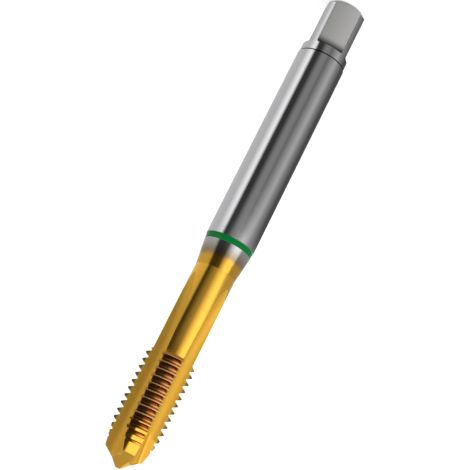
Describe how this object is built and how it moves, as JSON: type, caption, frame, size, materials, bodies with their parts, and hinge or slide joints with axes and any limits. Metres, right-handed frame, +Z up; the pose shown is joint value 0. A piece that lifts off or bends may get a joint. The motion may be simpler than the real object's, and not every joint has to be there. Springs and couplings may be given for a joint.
{
  "type": "thread tap",
  "caption": "Spiral-point machine tap: fluted thread, long neck, round shank and square drive, gold-coloured front, green ring.",
  "frame": {"origin": "centre of the square end, on the surface that the tool stands on", "axes": "+Z up the tool's axis from the square end to the tip, -Y the way one land of the thread faces"},
  "size_m": [0.01, 0.01, 0.103],
  "materials": {
    "tool_steel": "ground tool steel, with a gold-coloured hard coating on the thread and neck and a green paint ring"
  },
  "bodies": {
    "root": {"thread_tap": "tool_steel"}
  },
  "joints": []
}
